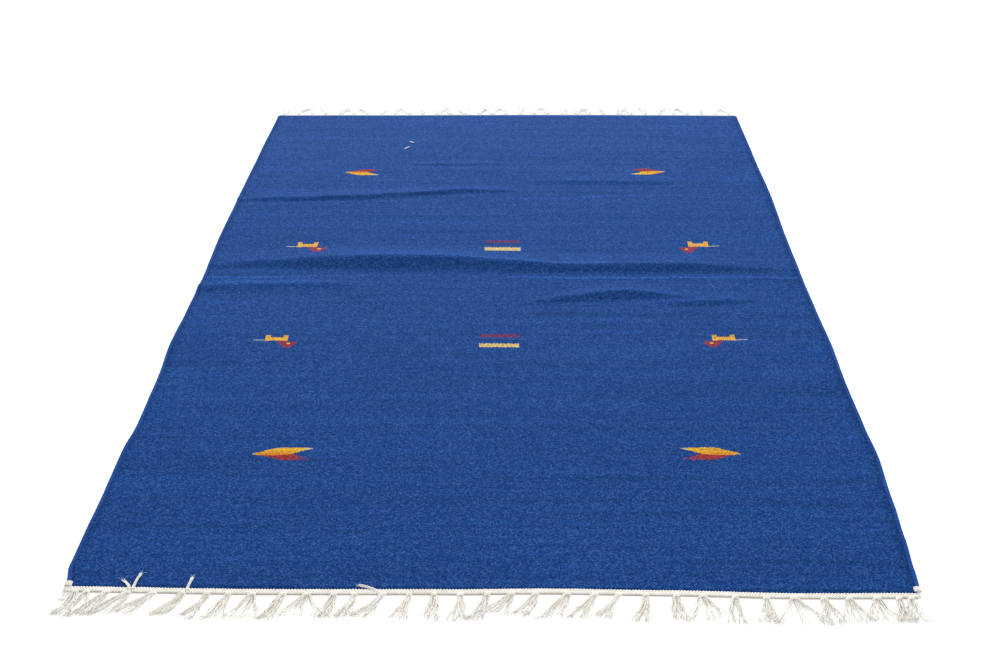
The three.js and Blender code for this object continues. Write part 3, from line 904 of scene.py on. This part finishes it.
def strayHair(knotX, edge, out, lean, reach, splay):
    length = reach * random.uniform(*stray["shares"])
    side = lean * length / reach + random.uniform(-1, 1) * (splay * stray["splay"] + stray["apart"])
    start = (knotX + random.uniform(-stray["rootX"], stray["rootX"]), edge + out * stray["rootY"])
    stop = (knotX + side, edge + out * length)
    bow = ((start[0] + stop[0]) / 2 + random.uniform(-stray["bowX"], stray["bowX"]),
           (start[1] + stop[1]) / 2 + random.uniform(-stray["bowY"], stray["bowY"]))
    sway = tassel["sway"] * stray["sway"]
    line = yarnLine(start, bow, stop, stray["rootZ"], stray["lieZ"], sway, stray["steps"])
    return [(x, y, z, stray["width"], 0.0) for x, y, z, *_ in line]


def knotTurn(knotX, y):
    ring = []
    for step in range(knot["steps"]):
        angle = 2 * math.pi * step / knot["steps"]
        ring.append((knotX + knot["reach"] * math.cos(angle), y + knot["slant"] * math.sin(angle + 1),
                     knot["middle"] + knot["rise"] * math.sin(angle), knot["width"], 0.0))
    return ring


def makeFringe(endName, table, extraYarns=(), extraHairs=()):
    out = ends[endName]["out"]
    yarns, hairs, turns = [], [], []
    for knotX, lean, reach, splay in table:
        edge = headingEdge(endName, knotX)
        lines, frayed = tasselYarns(knotX, edge, out, lean, reach, splay)
        yarns += lines
        hairs += frayed
        hairs += [strayHair(knotX, edge, out, lean, reach, splay) for _ in range(stray["count"])]
        turns += [knotTurn(knotX, edge + out * along) for along in knot["rows"]]
    yarns += extraYarns
    hairs += extraHairs
    twisted = roundSection(yarn["sides"], yarn["radius"], yarn["radius"], yarn["waist"])
    bodies = makeTubes("tassels_" + endName, yarns, twisted, cottonFinish)
    wrapping = roundSection(knot["sides"], knot["radius"], knot["radius"])
    knots = makeTubes("knots_" + endName, turns, wrapping, cottonFinish, closed=True)
    thin = roundSection(fray["sides"], fray["radius"], fray["radius"])
    fuzz = makeTubes("fray_" + endName, hairs, thin, cottonFinish)
    return [joined(bodies, knots), fuzz]


# Locks that turn back over the panel at the front: root, tip and how wide the tip opens
turnedLocks = [
    (-503, -516, -876, 1.6), (-498, -494, -864, 1.4), (-422, -420, -870, 1.4), (-160, -184, -883, 2.2),
]
lock = {"yarns": 5, "neck": 1.8, "rootIn": 2, "tipJitter": 2, "rootZ": 4.4, "lieZ": 4.1, "layerRise": 0.8,
        "sway": 0.6, "steps": 10, "hairs": 1, "hairLie": 0.8, "hairLift": 3.4}


def makeLocks():
    yarns, hairs = [], []
    for rootX, tipX, tipY, opening in turnedLocks:
        for number in range(lock["yarns"]):
            share = 2 * number / (lock["yarns"] - 1) - 1
            root = (rootX + share * lock["neck"], headingEdge("front", rootX) + lock["rootIn"])
            tip = (tipX + share * opening, tipY + random.uniform(-lock["tipJitter"], lock["tipJitter"]))
            bend = (rootX + share, (root[1] + tip[1]) / 2)
            lieZ = lock["lieZ"] + lock["layerRise"] * (number % 2)
            line = yarnLine(root, bend, tip, lock["rootZ"], lieZ, lock["sway"], lock["steps"])
            yarns.append(line)
            for hair in frayedEnd(line, lock["hairLie"])[:lock["hairs"]]:
                hairs.append([(x, y, z + lock["hairLift"], width, turn) for x, y, z, width, turn in hair])
    return yarns, hairs


# The ends of the side cords are bound in cotton at the front corners
binding = {"turns": 5, "first": 1.2, "pitch": 1.7, "inward": 1.4, "reachX": 5.0, "slant": 0.5, "middle": 3.3,
           "reachZ": 2.4, "width": 1.05, "twist": 0.6, "startAngle": -1.5, "steps": 12}
# and a loose tangle hangs over the left one: root, bend and tip of its first yarn, and each one's shift
tangle = {"yarns": 6, "pitch": 1.9, "root": (-595, -881.5), "rootFall": 0.45, "bend": (-592, -889),
          "bendFall": 0.3, "tip": (-597, -915), "tipSpread": 1.1, "rootZ": 5.2, "lieZ": 1.6,
          "sway": 0.5, "steps": 12}


def makeBinding(sideName):
    x = cordCentre(sideName, sideCord["front"])
    x += binding["inward"] if sideName == "left" else -binding["inward"]
    turns = []
    for number in range(binding["turns"]):
        y = sideCord["front"] - binding["first"] - binding["pitch"] * number
        turn = []
        for step in range(binding["steps"] + 1):
            angle = binding["startAngle"] + 2 * math.pi * step / binding["steps"]
            turn.append((x + binding["reachX"] * math.cos(angle), y + binding["slant"] * math.sin(angle),
                         binding["middle"] + binding["reachZ"] * math.sin(angle), binding["width"],
                         binding["twist"] * step))
        turns.append(turn)
    return turns


def makeCorners():
    yarns = makeBinding("left") + makeBinding("right")
    for number in range(tangle["yarns"]):
        shift = number * tangle["pitch"]
        root = (tangle["root"][0] + shift, tangle["root"][1] - shift * tangle["rootFall"])
        bend = (tangle["bend"][0] + shift, tangle["bend"][1] - shift * tangle["bendFall"])
        tip = (tangle["tip"][0] + shift * tangle["tipSpread"], tangle["tip"][1])
        rootZ, lieZ = tangle["rootZ"], tangle["lieZ"]
        yarns.append(yarnLine(root, bend, tip, rootZ, lieZ, tangle["sway"], tangle["steps"]))
    return yarns


lockYarns, lockHairs = makeLocks()
fringes = {
    "front": makeFringe("front", frontTassels, lockYarns + makeCorners(), lockHairs),
    "back": makeFringe("back", backTassels),
}
print("tassels ready")

# Two loose white yarn ends that lie on the back half: start, bend and stop
looseYarns = [((-237, 704), (-232, 702), (-227, 698)), ((-246, 658), (-242, 667), (-235, 671))]
looseYarn = {"rootRise": 0.6, "rise": 0.9, "sway": 0.4, "steps": 10, "section": (1.4, 1.3), "sides": 8}


def makeLooseEnds():
    lines = []
    for start, bend, stop in looseYarns:
        top = clothLift(*start) + panel["thickness"]
        rootZ, lieZ = top + looseYarn["rootRise"], top + looseYarn["rise"]
        lines.append(yarnLine(start, bend, stop, rootZ, lieZ, looseYarn["sway"], looseYarn["steps"]))
    section = roundSection(looseYarn["sides"], *looseYarn["section"])
    return makeTubes("loose_yarn_ends", lines, section, looseFinish)


looseEnds = makeLooseEnds()
print("loose ends ready")

# What each piece stands for and rides on, and the finish slot listed for it
for piece, node, slot in (
    (kilimPanel, "kilim_cloth", "wool_field"),
    (sideCords["left"], "selvedge_left", "wool_cord"),
    (sideCords["right"], "selvedge_right", "wool_cord"),
    (headings["front"], "fringe_front", "cotton"),
    (headings["back"], "fringe_back", "cotton"),
    (fringes["front"][0], "fringe_front", "cotton"),
    (fringes["front"][1], "fringe_front", "cotton"),
    (fringes["back"][0], "fringe_back", "cotton"),
    (fringes["back"][1], "fringe_back", "cotton"),
    (looseEnds, "kilim_cloth", "cotton"),
):
    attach(piece, "root")
    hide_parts(node)
